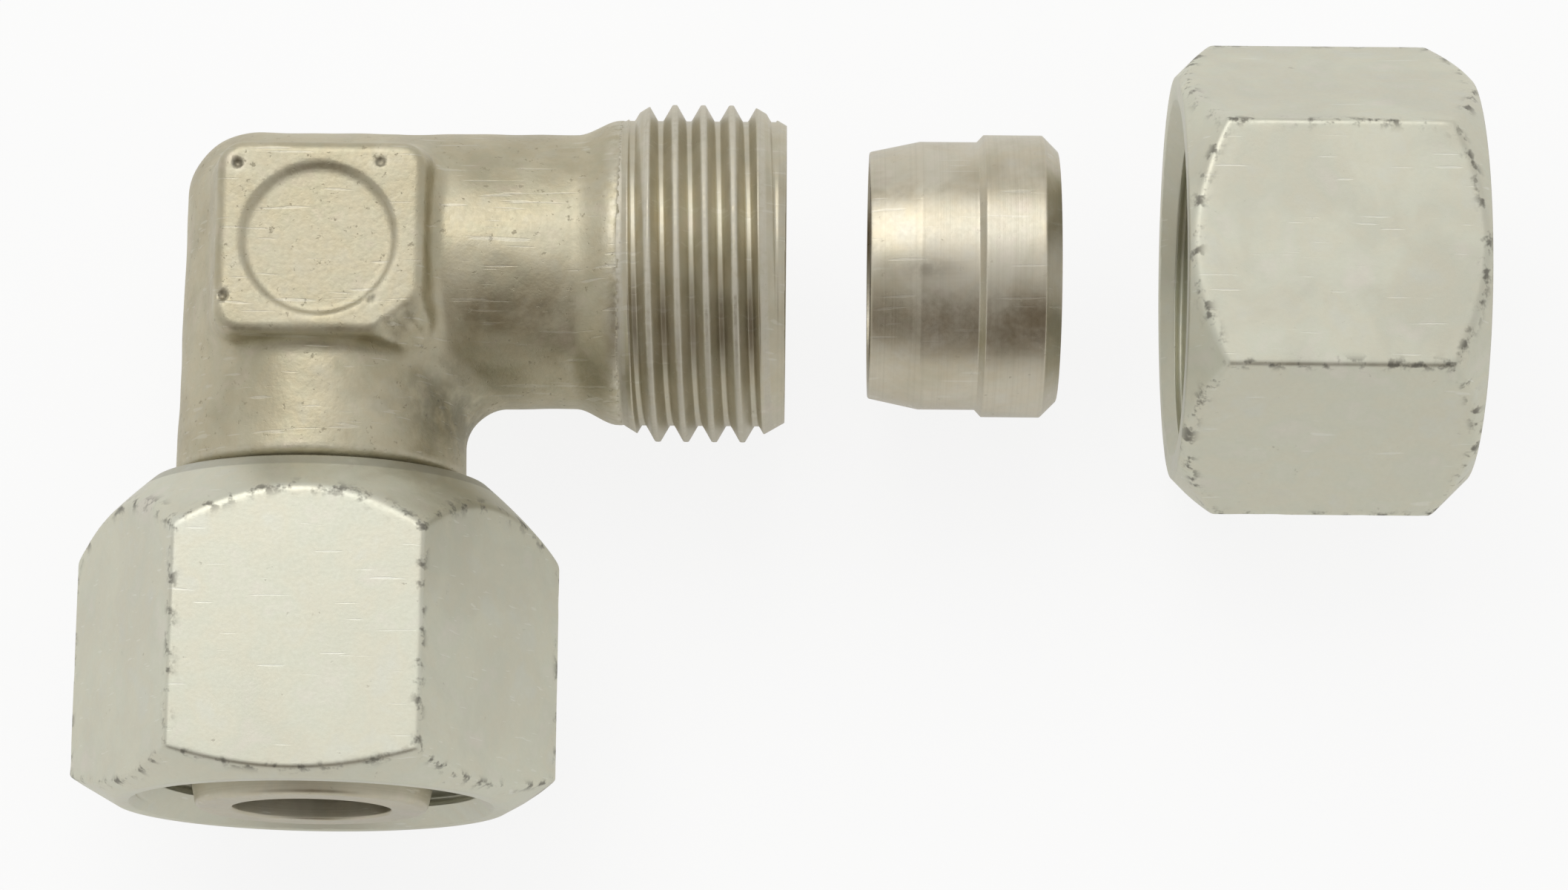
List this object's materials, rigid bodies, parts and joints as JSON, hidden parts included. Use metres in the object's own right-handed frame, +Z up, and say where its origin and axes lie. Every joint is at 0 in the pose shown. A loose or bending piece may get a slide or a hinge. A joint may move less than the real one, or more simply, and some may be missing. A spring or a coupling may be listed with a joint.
{
  "type": "adjustable elbow fitting",
  "caption": "Forged right-angle hydraulic fitting with a captive swivel hexagon nut over a sealing cone, and a cutting ring and union nut slid off its threaded arm.",
  "frame": {"origin": "where the two axes of the elbow cross", "axes": "+X along the threaded arm towards the loose ring and nut, -Y down the leg to the sealing cone and swivel nut, +Z up from the surface the fitting lies on"},
  "size_m": [0.0732, 0.0415, 0.0228],
  "materials": {
    "forged_zinc": "satin zinc plating on forged and turned steel",
    "nut_zinc": "satin zinc plating with a faint iridescence",
    "ring_zinc": "bright turned zinc plating",
    "seal_rubber": "matte black"
  },
  "bodies": {
    "elbow": {"elbow_body": "forged_zinc", "o_ring": "seal_rubber"},
    "swivel_nut": {"swivel_nut": "nut_zinc"},
    "cutting_ring": {"cutting_ring": "ring_zinc"},
    "union_nut": {"union_nut": "nut_zinc"}
  },
  "joints": [
    {"name": "swivel_nut_turn", "type": "hinge", "parent": "elbow", "child": "swivel_nut", "pos_m": [0, -0.02, 0], "axis": [0, -1, 0], "continuous": true},
    {"name": "cutting_ring_slide", "type": "slide", "parent": "elbow", "child": "cutting_ring", "axis": [1, 0, 0], "range_m": [-0.00703, 0]},
    {"name": "union_nut_slide", "type": "slide", "parent": "cutting_ring", "child": "union_nut", "axis": [1, 0, 0], "range_m": [-0.01809, 0]}
  ]
}
